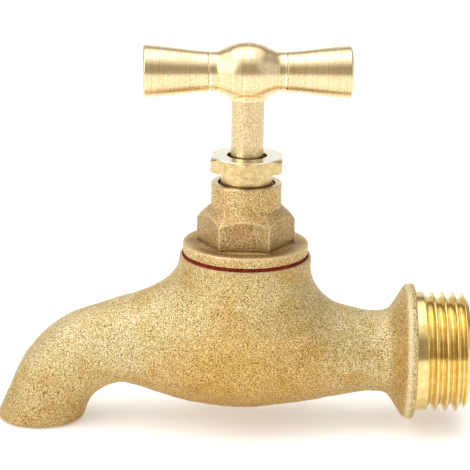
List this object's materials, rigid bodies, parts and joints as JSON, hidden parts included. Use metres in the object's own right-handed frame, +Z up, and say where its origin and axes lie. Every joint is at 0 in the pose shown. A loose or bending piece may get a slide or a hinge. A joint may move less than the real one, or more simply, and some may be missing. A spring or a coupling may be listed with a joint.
{
  "type": "hose bib",
  "caption": "Screw-down hose bib with a male threaded inlet, a round globe body, a downturned spout and a T-handle on a rising spindle.",
  "frame": {"origin": "on the inlet axis, at the shoulder face of the inlet flange on the thread side", "axes": "+X along the inlet thread, out of the body toward the pipe it screws into; the spout is toward -X; +Z up along the spindle; +Y completes the right hand"},
  "size_m": [0.0825, 0.0242, 0.0674],
  "materials": {
    "cast_brass": "sand cast, matte",
    "bonnet_brass": "cast with a machined rim",
    "machined_brass": "satin, machined",
    "turned_brass": "polished, turned",
    "fibre": "red vulcanised fibre",
    "packing": "graphited yarn",
    "seal_rubber": "matte"
  },
  "bodies": {
    "valve_body": {"body": "cast_brass", "bonnet": "bonnet_brass", "bonnet_washer": "fibre", "packing_washer": "machined_brass", "packing_ring_lower": "packing", "packing_ring_upper": "packing", "gland_nut": "machined_brass"},
    "jumper": {"jumper_valve": "machined_brass", "seat_washer": "seal_rubber", "washer_nut": "machined_brass"},
    "spindle_set": {"spindle": "machined_brass", "jumper_pin": "machined_brass", "handle_hub": "turned_brass", "handle_grip_left": "turned_brass", "handle_grip_right": "turned_brass"}
  },
  "joints": [
    {"name": "jumper_lift", "type": "slide", "parent": "valve_body", "child": "jumper", "axis": [0, 0, 1], "range_m": [0, 0.005]},
    {"name": "handle_turn", "type": "hinge", "parent": "jumper", "child": "spindle_set", "pos_m": [-0.0298, 0, 0], "axis": [0, 0, 1], "range_deg": [0, 900]}
  ],
  "couplings": [
    {"joint": "jumper_lift", "follows": "handle_turn", "m_per_rad": 0.00031831}
  ]
}
